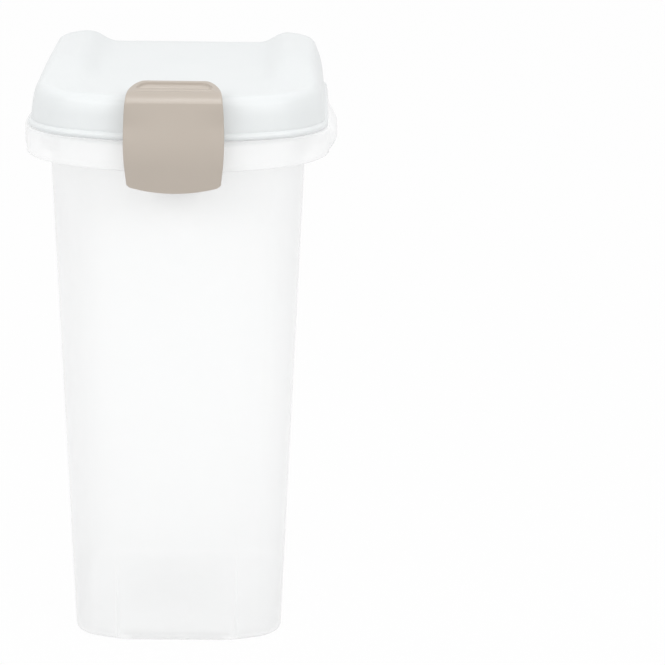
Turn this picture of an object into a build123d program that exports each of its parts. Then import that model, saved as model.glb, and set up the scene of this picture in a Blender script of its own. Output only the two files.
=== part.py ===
from build123d import *
import os
from math import asin, atan, atan2, cos, degrees, radians, sin, sqrt, tan

os.makedirs("parts", exist_ok=True)

# Pet food storage bin. Millimetres, +Z up, front towards -Y.
# The origin is on the floor, under the middle of the rim.

# Plan of the rim: a bowed front, large front corners, straight sides, a straight rear for the hinge
rim_width = 185.0
rim_depth = 230.0
front_bow_radius = 150.0
front_corner_radius = 50.0
rear_corner_radius = 42.0

# Tub: the walls come in by the same draft all round from the mouth to the floor
rim_height = 326.0
tub_wall = 2.0
tub_floor = 2.4
rim_overhang = 14.0
tub_draft_run = 13.5
base_edge_round = 3.5

# Flat panel let into the foot of the bowed front, with its arched top
panel_width = 74.6
panel_height = 43.0
panel_foot_depth = 7.3
panel_head_depth = 5.4
panel_arch_rise = 15.0
panel_arch_run = 8.0

# Rim flange and the skirt that hangs from it
flange_thickness = 2.0
skirt_depth = 18.5
skirt_wall = 2.0
skirt_side_lift = 3.0
rib_thickness = 1.6
rib_drop = 13.0
rib_length = 37.5
front_rib_x = 76.0
front_rib_turn = -40.0
rear_rib_turn = 45.0
rib_inside_hinge_x = 21.0

# Finger grips on both sides of the rim
grip_length = 112.0
grip_reach = 5.5
grip_middle_y = 5.0
grip_height = 10.0
grip_slope_height = 6.0

# Lid
lid_gap = 0.3
lid_wall = 1.8
bead_height = 3.4
bead_inset = 0.8
bead_bevel = 1.4
lid_foot_inset = 2.4
lid_waist_rise = 18.0
lid_waist_inset = 4.4
lid_top_inset = 10.0
saddle_height = 25.5
wing_rise = 8.0
wing_shoulder_inset = 25.5
saddle_edge_inset = 46.5
wing_front_run = 54.0
crease_round = 1.0

# Plug ring under the lid, and the seal that is stretched round it
plug_clearance = 1.5
plug_wall = 1.6
plug_depth = 6.5
seal_width = 5.0
seal_height = 2.8
seal_lip_height = 1.2
seal_lip_width = 1.3
seal_fit = 0.05
seal_stop_width = 2.5
seal_stop_height = 1.6

# Rear hinge: two stations, each with a pin in two lugs of the rim and one tongue of the lid
hinge_station_x = 36.0
hinge_pin_radius = 2.0
hinge_setback = 6.0
hinge_drop = 6.5
hinge_knuckle_radius = 4.5
hinge_lug_thickness = 5.0
hinge_lug_height = 13.0
tongue_width = 14.0
tongue_thickness = 4.0
tongue_rim_gap = 1.0
running_fit = 0.06
side_play = 0.4
pin_chamfer = 0.3

# Front latch: a bent plate that hangs from a pin on top of the lid; depths run back from the rim's front
latch_width = 59.8
latch_half_turn = 14.0
latch_side_bulge = 1.6
latch_foot_drop = 29.9
latch_bottom_bulge = 4.2
latch_bottom_corner = 4.0
latch_plate = 2.6
latch_foot_depth = -4.5
latch_belly_depth = -8.0
latch_belly_drop = 6.0
latch_belly_round = 60.0
latch_shoulder_depth = -1.5
latch_shoulder_drop = 3.3
latch_bend_depth = 6.5
latch_bend_rise = 3.4
latch_top_start = 8.5
latch_top_corner = 12.5
latch_top_corner_start = 0.0
latch_pin_depth = 22.0
latch_pin_rise = 3.1
latch_pin_radius = 1.4
latch_pin_length = 32.0
latch_barrel_radius = 2.8
latch_barrel_width = 14.0
latch_lug_thickness = 5.0
latch_lug_radius = 2.5
latch_knuckle_width = 3.6
hood_outer_radius = 4.4
hood_end_angle = 100.0
hood_start_angle = 350.0
crescent_inset = 3.2
crescent_width = 2.0
crescent_depth = 0.8
crescent_end_angle = 40.0

# The catch bar on the skirt and the hook inside the latch that snaps under it
catch_width = 32.0
catch_reach = 2.6
catch_height = 6.0
catch_foot_drop = 15.5
catch_angle = 40.0
hook_skirt_gap = 1.3
hook_height = 7.0
hook_width = 30.0

# Places that follow from the sizes
rim_front = -rim_depth / 2
rim_rear = rim_depth / 2
lid_foot = rim_height + lid_gap
lid_waist_z = lid_foot + lid_waist_rise
saddle_z = lid_foot + saddle_height
wing_z = saddle_z + wing_rise
wing_shoulder = rim_width / 2 - wing_shoulder_inset
saddle_half_width = rim_width / 2 - saddle_edge_inset
hinge_y = rim_rear + hinge_setback
hinge_z = rim_height - hinge_drop
latch_pin_y = rim_front + latch_pin_depth
latch_pin_z = saddle_z + latch_pin_rise
latch_bow_centre_y = rim_front + front_bow_radius
latch_bottom_z = rim_height - latch_foot_drop
latch_belly_z = rim_height - latch_belly_drop
latch_shoulder_z = saddle_z - latch_shoulder_drop
latch_bend_z = saddle_z + latch_bend_rise
catch_foot_z = rim_height - catch_foot_drop
plug_inset = rim_overhang + tub_wall + plug_clearance
base_front = rim_front + rim_overhang + tub_draft_run
tub_draft = degrees(atan(tub_draft_run / rim_height))
above = wing_z + lid_top_inset


def plan(width, front_y, rear_y, bow, front_corner, rear_corner):
    """outline seen from above: bowed front, rounded corners, straight sides and rear"""
    half = width / 2
    across = half - front_corner
    along = sqrt((bow - front_corner) ** 2 - across**2)
    corner_y = front_y + bow - along
    reach = bow / (bow - front_corner)
    meet = (across * reach, front_y + bow - along * reach)
    lean = (across / (bow - front_corner) + 1.0, -along / (bow - front_corner))
    size = sqrt(lean[0] ** 2 + lean[1] ** 2)
    corner_mid = (across + front_corner * lean[0] / size, corner_y + front_corner * lean[1] / size)
    rear_mid = rear_corner * (1 - sqrt(0.5))
    with BuildSketch() as outline:
        with BuildLine():
            ThreePointArc((-meet[0], meet[1]), (0, front_y), meet)
            ThreePointArc(meet, corner_mid, (half, corner_y))
            Line((half, corner_y), (half, rear_y - rear_corner))
            ThreePointArc(
                (half, rear_y - rear_corner),
                (half - rear_mid, rear_y - rear_mid),
                (half - rear_corner, rear_y),
            )
            Line((half - rear_corner, rear_y), (rear_corner - half, rear_y))
            ThreePointArc(
                (rear_corner - half, rear_y),
                (rear_mid - half, rear_y - rear_mid),
                (-half, rear_y - rear_corner),
            )
            Line((-half, rear_y - rear_corner), (-half, corner_y))
            ThreePointArc((-half, corner_y), (-corner_mid[0], corner_mid[1]), (-meet[0], meet[1]))
        make_face()
    return outline.sketch


def rim_plan(inset):
    """the rim's outline, drawn in by inset all round"""
    return plan(
        rim_width - 2 * inset,
        rim_front + inset,
        rim_rear - inset,
        front_bow_radius - inset,
        front_corner_radius - inset,
        rear_corner_radius - inset,
    )


def ring(inset, width, foot, height):
    """an upright band that follows the rim: its outer face is inset from the rim by inset"""
    with BuildPart() as band:
        with BuildSketch(Plane.XY.offset(foot)):
            add(rim_plan(inset))
            add(rim_plan(inset + width), mode=Mode.SUBTRACT)
        extrude(amount=height)
    return band.part


def panel_cutter(grow):
    """the space in front of the flat panel, with its outline moved out by grow"""
    foot = (base_front + panel_foot_depth + grow, -1.0)
    head = (base_front + panel_head_depth + grow, panel_height)
    arch = (head[0] - panel_arch_run - grow, panel_height + panel_arch_rise + grow)
    with BuildPart() as cutter:
        with BuildSketch(Plane.YZ):
            with BuildLine():
                Polyline(arch, (rim_front, arch[1]), (rim_front, foot[1]), foot, head)
                TangentArc(head, arch, tangent=(head[0] - foot[0], head[1] - foot[1]))
            make_face()
        extrude(amount=panel_width / 2 + grow, both=True)
    return cutter.part


def tub_form(inset, edge_round=0.0):
    """the tub as a solid block, drawn in by inset all round, with its foot rounded by edge_round"""
    with BuildPart() as form:
        with BuildSketch():
            add(rim_plan(rim_overhang + tub_draft_run + inset))
        extrude(amount=rim_height, taper=-tub_draft)
        if edge_round:
            fillet(form.edges().group_by(Axis.Z)[0], edge_round)
        add(panel_cutter(inset), mode=Mode.SUBTRACT)
    return form.part


def grip_form(inset):
    """both finger grips as solid segments that stand out from the sides of the rim"""
    side = rim_width / 2 - skirt_wall - inset
    reach = rim_width / 2 + grip_reach - inset
    half = grip_length / 2 - inset
    foot = rim_height - skirt_depth
    shoulder = foot + grip_height
    top = shoulder + grip_slope_height - inset
    with BuildPart() as grips:
        with BuildSketch(Plane.XY.offset(foot)):
            with BuildLine():
                Line((side, grip_middle_y + half), (side, grip_middle_y - half))
                ThreePointArc(
                    (side, grip_middle_y - half), (reach, grip_middle_y), (side, grip_middle_y + half)
                )
            make_face()
            mirror(about=Plane.YZ)
        extrude(amount=grip_height + grip_slope_height)
        with BuildSketch(Plane.XZ):
            Polygon((-reach, foot), (reach, foot), (reach, shoulder), (side, top), (-side, top),
                    (-reach, shoulder), align=None)
        extrude(amount=rim_depth, both=True, mode=Mode.INTERSECT)
    return grips.part


# Rim: a flange with a skirt that hangs lower at the front and rear than at the sides
skirt_foot = rim_height - skirt_depth
skirt_cut_reach = rim_width / 2 + 2 * grip_reach
with BuildPart() as rim_band:
    with BuildSketch(Plane.XY.offset(skirt_foot)):
        add(rim_plan(0.0))
    extrude(amount=skirt_depth)
    add(grip_form(0.0))
    with BuildSketch(Plane.XY.offset(skirt_foot)):
        add(rim_plan(skirt_wall))
    extrude(amount=skirt_depth - flange_thickness, mode=Mode.SUBTRACT)
    add(grip_form(skirt_wall), mode=Mode.SUBTRACT)
    with BuildSketch(Plane.XZ):
        with BuildLine():
            ThreePointArc(
                (-skirt_cut_reach, skirt_foot + skirt_side_lift),
                (0, skirt_foot),
                (skirt_cut_reach, skirt_foot + skirt_side_lift),
            )
            Polyline(
                (skirt_cut_reach, skirt_foot + skirt_side_lift),
                (skirt_cut_reach, skirt_foot - skirt_depth),
                (-skirt_cut_reach, skirt_foot - skirt_depth),
                (-skirt_cut_reach, skirt_foot + skirt_side_lift),
            )
        make_face()
    extrude(amount=rim_depth, both=True, mode=Mode.SUBTRACT)

# Ribs between the tub and the skirt: at the corners, at the ends of the grips and inside the hinges
rib_places = [
    (front_rib_x, rim_front + rim_overhang, front_rib_turn),
    (rim_width / 2, grip_middle_y - grip_length / 2, 0.0),
    (rim_width / 2, grip_middle_y + grip_length / 2, 0.0),
    (rim_width / 2 - rear_corner_radius / 2, rim_rear - rear_corner_radius / 2, rear_rib_turn),
    (rib_inside_hinge_x, rim_rear, 90.0),
]
with BuildPart() as ribs:
    with BuildSketch(Plane.XY.offset(rim_height - rib_drop)):
        for x, y, angle in rib_places:
            with Locations(Location((x, y, 0), (0, 0, angle))):
                Rectangle(rib_length, rib_thickness)
        mirror(about=Plane.YZ)
    extrude(amount=rib_drop - flange_thickness / 2)
    with BuildSketch(Plane.XY.offset(skirt_foot)):
        add(rim_plan(skirt_wall / 2))
    extrude(amount=skirt_depth, mode=Mode.INTERSECT)
    add(tub_form(tub_wall / 2), mode=Mode.SUBTRACT)

# Room inside the tub
with BuildPart() as tub_room:
    add(tub_form(tub_wall))
    split(bisect_by=Plane.XY.offset(tub_floor), keep=Keep.TOP)

# Bin body: tub, rim, ribs, the catch bar for the latch and the lugs of the rear hinge
catch_rise = catch_reach * tan(radians(catch_angle))
lug_middle = tongue_width / 2 + side_play + hinge_lug_thickness / 2
with BuildPart() as bin_body:
    add(tub_form(0.0, base_edge_round))
    add(rim_band.part)
    add(ribs.part)
    add(tub_room.part, mode=Mode.SUBTRACT)
    with BuildSketch(Plane.YZ):
        Polygon(
            (rim_front + skirt_wall / 2, catch_foot_z),
            (rim_front, catch_foot_z),
            (rim_front - catch_reach, catch_foot_z + catch_rise),
            (rim_front - catch_reach, catch_foot_z + catch_height),
            (rim_front + skirt_wall / 2, catch_foot_z + catch_height + catch_rise),
            align=None,
        )
    extrude(amount=catch_width / 2, both=True)
    for station in (-hinge_station_x, hinge_station_x):
        for middle in (station - lug_middle, station + lug_middle):
            with BuildSketch(Plane.YZ.offset(middle)):
                with Locations((hinge_y, hinge_z)):
                    Circle(hinge_knuckle_radius)
                with Locations((rim_rear - skirt_wall / 4, hinge_z - hinge_lug_height / 4)):
                    Rectangle(skirt_wall / 2, hinge_lug_height)
                make_hull()
            extrude(amount=hinge_lug_thickness / 2, both=True)
            with BuildSketch(Plane.YZ.offset(middle)):
                with Locations((hinge_y, hinge_z)):
                    Circle(hinge_pin_radius + running_fit)
            extrude(amount=hinge_lug_thickness, both=True, mode=Mode.SUBTRACT)
bin_body.part.label = "bin_body"
export_step(bin_body.part, "parts/bin_body.step")


def lid_inset(z):
    """how far the lid's side, which slopes more above its waist, has come in from the rim at height z"""
    if z < lid_waist_z:
        return lid_foot_inset + (lid_waist_inset - lid_foot_inset) * (z - lid_foot) / lid_waist_rise
    slope = (lid_top_inset - lid_waist_inset) / (wing_z - lid_waist_z)
    return lid_waist_inset + slope * (z - lid_waist_z)


def lid_form(inset):
    """the lid as a solid block with its saddle between two wings, drawn in by inset all round"""
    crown = wing_z + lid_wall
    shoulder = wing_z - inset
    seat = saddle_z - inset
    middle = ((wing_shoulder + saddle_half_width) / 2, (shoulder + seat) / 2)
    front_edge = rim_front + lid_inset(saddle_z)
    with BuildPart() as form:
        for level in (lid_foot, lid_waist_z, crown):
            with BuildSketch(Plane.XY.offset(level)):
                add(rim_plan(lid_inset(level) + inset))
        loft(ruled=True)
        with BuildSketch(Plane.XZ):
            with BuildLine():
                Line((0, seat), (saddle_half_width, seat))
                TangentArc((saddle_half_width, seat), middle, tangent=(1, 0))
                TangentArc((wing_shoulder, shoulder), middle, tangent=(-1, 0))
                Polyline((wing_shoulder, shoulder), (rim_width, shoulder), (rim_width, above), (0, above),
                         (0, seat))
            make_face()
            mirror(about=Plane.YZ)
        extrude(amount=rim_depth, both=True, mode=Mode.SUBTRACT)
        with BuildSketch(Plane.YZ):
            with BuildLine():
                top = (front_edge + wing_front_run, shoulder)
                TangentArc(top, (front_edge, seat), tangent=(-1, 0))
                Polyline((front_edge, seat), (rim_front - wing_rise, seat), (rim_front - wing_rise, above),
                         (top[0], above), top)
            make_face()
        extrude(amount=rim_width, both=True, mode=Mode.SUBTRACT)
    return form.part


# Lid foot: a bevelled bead that covers the edge of the flange
with BuildPart() as bead:
    with BuildSketch(Plane.XY.offset(lid_foot)):
        add(rim_plan(bead_inset))
    extrude(amount=bead_height)
    chamfer(bead.edges().group_by(Axis.Z)[-1], bead_bevel)

# Plug ring: a rib that hangs from the lid's ceiling into the mouth, with a stop that holds the seal down
with BuildPart() as plug:
    add(ring(plug_inset, plug_wall, lid_foot, above - lid_foot))
    add(lid_form(lid_wall / 2), mode=Mode.INTERSECT)
    add(ring(plug_inset, plug_wall, lid_foot - plug_depth, plug_depth))
    add(ring(plug_inset - seal_stop_width, seal_stop_width, lid_foot + seal_height, seal_stop_height))

# Lid: shell, bead, plug ring, the two tongues of the rear hinge and the two lugs for the latch
latch_lug_middle = latch_barrel_width / 2 + side_play + latch_lug_thickness / 2
with BuildPart() as lid:
    add(lid_form(0.0))
    walls = lid.faces().filter_by(lambda face: face.bounding_box().min.Z < lid_waist_z + lid_gap)
    fillet(walls.edges().filter_by(lambda edge: edge.bounding_box().min.Z > saddle_z - lid_wall), crease_round)
    add(bead.part)
    add(lid_form(lid_wall), mode=Mode.SUBTRACT)
    add(plug.part)
    for station in (-hinge_station_x, hinge_station_x):
        with BuildSketch(Plane.YZ.offset(station)):
            with Locations((hinge_y, hinge_z)):
                Circle(hinge_knuckle_radius)
            Polygon(
                (rim_rear - lid_foot_inset - lid_wall / 2, lid_foot),
                (rim_rear - lid_foot_inset - lid_wall / 2, lid_foot + tongue_thickness),
                (rim_rear, lid_foot + tongue_thickness),
                (rim_rear, lid_foot),
                align=None,
            )
            make_hull()
            Polygon(
                (rim_rear - rim_overhang, lid_foot),
                (rim_rear + tongue_rim_gap, lid_foot),
                (rim_rear + tongue_rim_gap, lid_foot - skirt_depth),
                (rim_rear - rim_overhang, lid_foot - skirt_depth),
                align=None,
                mode=Mode.SUBTRACT,
            )
            with Locations((hinge_y, hinge_z)):
                Circle(hinge_pin_radius + running_fit, mode=Mode.SUBTRACT)
        extrude(amount=tongue_width / 2, both=True)
    for middle in (-latch_lug_middle, latch_lug_middle):
        with BuildSketch(Plane.YZ.offset(middle)):
            with Locations((latch_pin_y, latch_pin_z)):
                Circle(latch_lug_radius)
            Polygon(
                (latch_pin_y - latch_lug_radius, saddle_z - lid_wall / 2),
                (latch_pin_y - latch_lug_radius, saddle_z),
                (latch_pin_y + latch_lug_radius, saddle_z),
                (latch_pin_y + latch_lug_radius, saddle_z - lid_wall / 2),
                align=None,
            )
            make_hull()
            with Locations((latch_pin_y, latch_pin_z)):
                Circle(latch_pin_radius + running_fit, mode=Mode.SUBTRACT)
        extrude(amount=latch_lug_thickness / 2, both=True)
lid.part.label = "lid"
export_step(lid.part, "parts/lid.step")

# Seal: a soft ring stretched round the plug ring, with two lips towards the flange
seal_inset = plug_inset - seal_fit - seal_width
with BuildPart() as lid_seal:
    add(ring(seal_inset, seal_width, lid_foot + seal_lip_height, seal_height - seal_lip_height))
    for lip_inset in (seal_inset, seal_inset + seal_width / 2 - seal_lip_width / 2):
        add(ring(lip_inset, seal_lip_width, lid_foot, seal_lip_height))
lid_seal.part.label = "lid_seal"
export_step(lid_seal.part, "parts/lid_seal.step")

# Hinge pins: one through the lugs and the tongue of each station
hinge_pin_length = 2 * (lug_middle + hinge_lug_thickness / 2)
for name, station in (("hinge_pin_left", -hinge_station_x), ("hinge_pin_right", hinge_station_x)):
    with BuildPart() as hinge_pin:
        with BuildSketch(Plane.YZ.offset(station)):
            with Locations((hinge_y, hinge_z)):
                Circle(hinge_pin_radius)
        extrude(amount=hinge_pin_length / 2, both=True)
        chamfer(hinge_pin.edges().filter_by(GeomType.CIRCLE), pin_chamfer)
    hinge_pin.part.label = name
    export_step(hinge_pin.part, "parts/" + name + ".step")

# Latch pin
with BuildPart() as latch_pin:
    with BuildSketch(Plane.YZ):
        with Locations((latch_pin_y, latch_pin_z)):
            Circle(latch_pin_radius)
    extrude(amount=latch_pin_length / 2, both=True)
    chamfer(latch_pin.edges().filter_by(GeomType.CIRCLE), pin_chamfer)
latch_pin.part.label = "latch_pin"
export_step(latch_pin.part, "parts/latch_pin.step")


def depth(value):
    """a depth behind the rim's front as a place along Y"""
    return rim_front + value


def inside(line, along):
    """the place one plate thickness behind a line of the latch's face"""
    place = line @ along
    heading = line % along
    return (place.X + latch_plate * heading.Y, place.Y - latch_plate * heading.X)


def crossing(start, heading, end, end_heading):
    """the place where a line from start along heading meets a line through end along end_heading"""
    span = (end[0] - start[0], end[1] - start[1])
    turn = heading.X * end_heading.Y - heading.Y * end_heading.X
    run = (span[0] * end_heading.Y - span[1] * end_heading.X) / turn
    return (start[0] + run * heading.X, start[1] + run * heading.Y)


# Front plate of the latch: face and bend, carried round the same centre as the bowed rim
latch_foot = (depth(latch_foot_depth), latch_bottom_z - latch_plate)
latch_belly = (depth(latch_belly_depth), latch_belly_z)
latch_shoulder = (depth(latch_shoulder_depth), latch_shoulder_z)
latch_bend = (depth(latch_bend_depth), latch_bend_z)
with BuildPart() as latch_face:
    with BuildSketch(Plane.YZ):
        with BuildLine():
            face_line = FilletPolyline(latch_foot, latch_belly, latch_shoulder, radius=latch_belly_round)
            bend_line = TangentArc(latch_shoulder, latch_bend, tangent=face_line % 1)
            rear_foot = inside(face_line, 0.0)
            rear_shoulder = inside(face_line, 1.0)
            rear_bend = inside(bend_line, 1.0)
            rear_belly = crossing(rear_foot, face_line % 0, rear_shoulder, face_line % 1)
            FilletPolyline(rear_foot, rear_belly, rear_shoulder, radius=latch_belly_round - latch_plate)
            TangentArc(rear_shoulder, rear_bend, tangent=face_line % 1)
            Line(latch_foot, rear_foot)
            Line(latch_bend, rear_bend)
        make_face()
    revolve(axis=Axis((0, latch_bow_centre_y, 0), (0, 0, 1)), revolution_arc=latch_half_turn)
    mirror(about=Plane.YZ)

# Top plate of the latch: a slope that meets the hood over the pin
span_y = latch_pin_y - latch_bend[0]
span_z = latch_pin_z - latch_bend[1]
slope = atan2(span_z, span_y) + asin(hood_outer_radius / sqrt(span_y**2 + span_z**2))
top_start_y = depth(latch_top_start)
top_start_z = latch_bend[1] + (top_start_y - latch_bend[0]) * tan(slope)


def round_pin(angle, radius):
    """a place round the latch pin: angle runs up from the front, in degrees"""
    return (latch_pin_y - radius * cos(radians(angle)), latch_pin_z + radius * sin(radians(angle)))


def hood():
    """side view of the hood: the part of a disc round the pin that lies over the front and top of it"""
    far = 4 * hood_outer_radius
    with BuildSketch() as disc:
        with Locations((latch_pin_y, latch_pin_z)):
            Circle(hood_outer_radius)
        rear = [round_pin(angle, far) for angle in (hood_end_angle, 180.0, 270.0, hood_start_angle)]
        Polygon((latch_pin_y, latch_pin_z), *rear, align=None, mode=Mode.SUBTRACT)
    return disc.sketch


under = (sin(slope) * latch_plate, -cos(slope) * latch_plate)
touch = round_pin(90.0 - degrees(slope), hood_outer_radius)
with BuildPart() as latch_top:
    with BuildSketch(Plane.YZ):
        Polygon(
            (top_start_y, top_start_z),
            touch,
            (touch[0] + under[0], touch[1] + under[1]),
            (top_start_y + under[0], top_start_z + under[1]),
            align=None,
        )
        add(hood())
        with Locations((latch_pin_y, latch_pin_z)):
            Circle(latch_barrel_radius, mode=Mode.SUBTRACT)
    extrude(amount=latch_width / 2, both=True)

# Outline of the latch from the front, and of its top from above
corner_x = latch_width / 2 - latch_side_bulge
corner_z = latch_bottom_z + latch_bottom_bulge
top_rear_y = round_pin(hood_end_angle, hood_outer_radius)[0] + lid_gap
top_corner_y = depth(latch_top_corner_start)
with BuildPart() as latch_outline:
    with BuildSketch(Plane.XZ) as front_view:
        with BuildLine():
            ThreePointArc((-corner_x, corner_z), (0, latch_bottom_z), (corner_x, corner_z))
            ThreePointArc(
                (corner_x, corner_z), (latch_width / 2, (corner_z + latch_bend_z) / 2), (corner_x, latch_bend_z)
            )
            Polyline(
                (corner_x, latch_bend_z), (corner_x, above), (-corner_x, above), (-corner_x, latch_bend_z)
            )
            ThreePointArc(
                (-corner_x, latch_bend_z),
                (-latch_width / 2, (corner_z + latch_bend_z) / 2),
                (-corner_x, corner_z),
            )
        make_face()
        fillet(front_view.vertices().group_by(Axis.Y)[0], latch_bottom_corner)
    extrude(amount=rim_depth, both=True)
    with BuildSketch(Plane.XY.offset(latch_bottom_z - 2 * latch_plate)):
        with BuildLine():
            EllipticalCenterArc(
                (corner_x - latch_top_corner, top_corner_y),
                latch_top_corner,
                top_rear_y - top_corner_y,
                start_angle=0,
                arc_size=90,
            )
            Polyline(
                (corner_x, top_corner_y),
                (latch_width, top_corner_y),
                (latch_width, -rim_depth),
                (0, -rim_depth),
                (0, top_rear_y),
                (corner_x - latch_top_corner, top_rear_y),
            )
        make_face()
        mirror(about=Plane.YZ)
    extrude(amount=above - latch_bottom_z, mode=Mode.INTERSECT)


def crescent_edge(inset):
    """right half of the top's rear edge, drawn in by inset at the middle and in proportion round the corner"""
    share = 1 - inset / (top_rear_y - top_corner_y)
    return EllipticalCenterArc(
        (corner_x - latch_top_corner, top_corner_y),
        latch_top_corner * share,
        (top_rear_y - top_corner_y) * share,
        start_angle=crescent_end_angle,
        arc_size=90 - crescent_end_angle,
    )


# Crescent: a shallow groove in the top that follows its rounded rear edge
with BuildPart() as crescent:
    with BuildSketch(Plane.XY.offset(saddle_z)):
        with BuildLine():
            rear_edge = crescent_edge(crescent_inset)
            front_edge = crescent_edge(crescent_inset + crescent_width)
            Line(rear_edge @ 0, front_edge @ 0)
            Polyline(rear_edge @ 1, (0, (rear_edge @ 1).Y), (0, (front_edge @ 1).Y), front_edge @ 1)
        make_face()
        mirror(about=Plane.YZ)
    extrude(amount=above - saddle_z)
    with BuildSketch(Plane.YZ):
        with Locations((latch_pin_y, latch_pin_z)):
            Circle(hood_outer_radius - crescent_depth)
        Polygon(
            (latch_bend[0], latch_bend[1] - crescent_depth / cos(slope)),
            (touch[0] + crescent_depth * sin(slope), touch[1] - crescent_depth * cos(slope)),
            (touch[0], saddle_z),
            (latch_bend[0], saddle_z),
            align=None,
        )
    extrude(amount=latch_width / 2, both=True, mode=Mode.SUBTRACT)

# Latch: plates, barrel and knuckles on the pin, and the hook under the catch bar
knuckle_middle = latch_lug_middle + latch_lug_thickness / 2 + side_play + latch_knuckle_width / 2
hook_slope = tan(radians(catch_angle))
hook_drop = lid_gap / cos(radians(catch_angle))
hook_tip_y = depth(-hook_skirt_gap)
hook_root_y = depth(latch_foot_depth - latch_plate / 4)
with BuildPart() as front_latch:
    add(latch_face.part)
    add(latch_top.part)
    add(latch_outline.part, mode=Mode.INTERSECT)
    for middle, width in (
        (-knuckle_middle, latch_knuckle_width),
        (0.0, latch_barrel_width),
        (knuckle_middle, latch_knuckle_width),
    ):
        with BuildSketch(Plane.YZ.offset(middle)):
            with Locations((latch_pin_y, latch_pin_z)):
                Circle(latch_barrel_radius)
            add(hood())
        extrude(amount=width / 2, both=True)
    with BuildSketch(Plane.YZ):
        Polygon(
            (hook_tip_y, catch_foot_z + hook_skirt_gap * hook_slope - hook_drop),
            (hook_root_y, catch_foot_z + (rim_front - hook_root_y) * hook_slope - hook_drop),
            (hook_root_y, catch_foot_z - hook_height),
            (hook_tip_y, catch_foot_z - hook_height + hook_skirt_gap),
            align=None,
        )
    extrude(amount=hook_width / 2, both=True)
    with BuildSketch(Plane.YZ):
        with Locations((latch_pin_y, latch_pin_z)):
            Circle(latch_pin_radius + running_fit)
    extrude(amount=latch_width, both=True, mode=Mode.SUBTRACT)
    add(crescent.part, mode=Mode.SUBTRACT)
front_latch.part.label = "front_latch"
export_step(front_latch.part, "parts/front_latch.step")
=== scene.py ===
import bmesh
import bpy
import numpy as np
from mathutils import Matrix


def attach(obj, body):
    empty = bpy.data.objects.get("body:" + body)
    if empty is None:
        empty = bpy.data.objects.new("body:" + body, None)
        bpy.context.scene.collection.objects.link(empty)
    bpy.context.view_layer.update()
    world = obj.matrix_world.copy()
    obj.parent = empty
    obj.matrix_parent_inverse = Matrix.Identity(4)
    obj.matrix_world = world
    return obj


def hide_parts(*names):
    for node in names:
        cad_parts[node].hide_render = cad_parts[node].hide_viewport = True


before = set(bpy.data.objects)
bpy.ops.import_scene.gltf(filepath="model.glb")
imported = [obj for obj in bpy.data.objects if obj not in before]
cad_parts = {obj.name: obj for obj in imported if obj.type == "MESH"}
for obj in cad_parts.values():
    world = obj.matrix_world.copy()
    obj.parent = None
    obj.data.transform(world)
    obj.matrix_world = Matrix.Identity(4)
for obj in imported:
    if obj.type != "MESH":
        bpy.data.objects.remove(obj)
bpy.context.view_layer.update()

# Tub: the tall bin of milky polypropylene, moulded in one piece with its rim, skirt and side grips.
# The walls have one draft all round. A flat panel that fades upwards is let into the bowed front's foot.
# One closed profile is carried round the rim's outline. Sizes here are in millimetres.
rim_width = 185.0
rim_depth = 230.0
rim_height = 326.0
bow_radius = 150.0
front_corner = 50.0
rear_corner = 42.0
rim_front = -rim_depth / 2
rim_rear = rim_depth / 2
tub_wall = 2.0
tub_floor = 2.4
mouth_inset = 14.0
draft_run = 13.5
foot_round = 3.5
floor_round = 2.5
rim_round = 0.7
mouth_round = 0.8
skirt_foot = 307.5
skirt_waist = 312.0
skirt_lift = 3.0
skirt_lift_at = 103.5
skirt_wall = 2.0
flange_under = rim_height - 2.0
grip_reach = 5.5
grip_middle = 5.0
grip_half = 56.0
grip_shoulder = 317.5
grip_top = 323.5
panel_half = 37.3
panel_edge = 1.6
panel_foot = 7.3
panel_lean = 1.9
panel_head = 43.0
panel_fade_foot = 15.0
panel_fade = 52.0


def rim_outline(bow, corner, side, rear_turn, rear):
    """The rim's outline as arc centres, radii and outward normals, all round from the front's middle.

    A point of the outline, drawn in by d, is centre plus (radius - d) times normal. The normal is
    (sin, -cos) of the heading, which runs from 0 at the front's middle to 180 degrees at the rear's.
    """
    half = rim_width / 2
    across = half - front_corner
    along = np.sqrt((bow_radius - front_corner) ** 2 - across**2)
    turn = np.arcsin(across / (bow_radius - front_corner))
    corner_y = rim_front + bow_radius - along
    side_y = np.linspace(corner_y, rim_rear - rear_corner, side)
    rear_x = np.linspace(half - rear_corner, 0.0, rear)
    heading = np.concatenate([
        np.linspace(0.0, turn, bow),
        np.linspace(turn, np.pi / 2, corner)[1:],
        np.full(side - 1, np.pi / 2),
        np.linspace(np.pi / 2, np.pi, rear_turn)[1:],
        np.full(rear - 1, np.pi),
    ])
    radius = np.concatenate([
        np.full(bow, bow_radius),
        np.full(corner - 1, front_corner),
        np.zeros(side - 1),
        np.full(rear_turn - 1, rear_corner),
        np.zeros(rear - 1),
    ])
    centre = np.concatenate([
        np.tile([0.0, rim_front + bow_radius], (bow, 1)),
        np.tile([across, corner_y], (corner - 1, 1)),
        np.stack([np.full(side - 1, half), side_y[1:]], 1),
        np.tile([half - rear_corner, rim_rear - rear_corner], (rear_turn - 1, 1)),
        np.stack([rear_x[1:], np.full(rear - 1, rim_rear)], 1),
    ])
    normal = np.stack([np.sin(heading), -np.cos(heading)], 1)
    flip = np.array([-1.0, 1.0])
    centre = np.concatenate([centre, centre[-2:0:-1] * flip])
    normal = np.concatenate([normal, normal[-2:0:-1] * flip])
    radius = np.concatenate([radius, radius[-2:0:-1]])
    return centre, radius, normal


def carried(outline, inset, height, shrink=1.0):
    """A profile carried round an outline: each row is drawn in by its inset and shrunk to the middle."""
    centre, radius, normal = outline
    rows = np.shape(inset)[0]
    inset = np.broadcast_to(inset, (rows, len(radius)))
    shrink = np.broadcast_to(shrink, (rows, len(radius)))
    flat = centre + (radius - inset)[..., None] * normal
    flat = flat * shrink[..., None]
    return np.dstack([flat, np.broadcast_to(height, (rows, len(radius)))])


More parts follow.
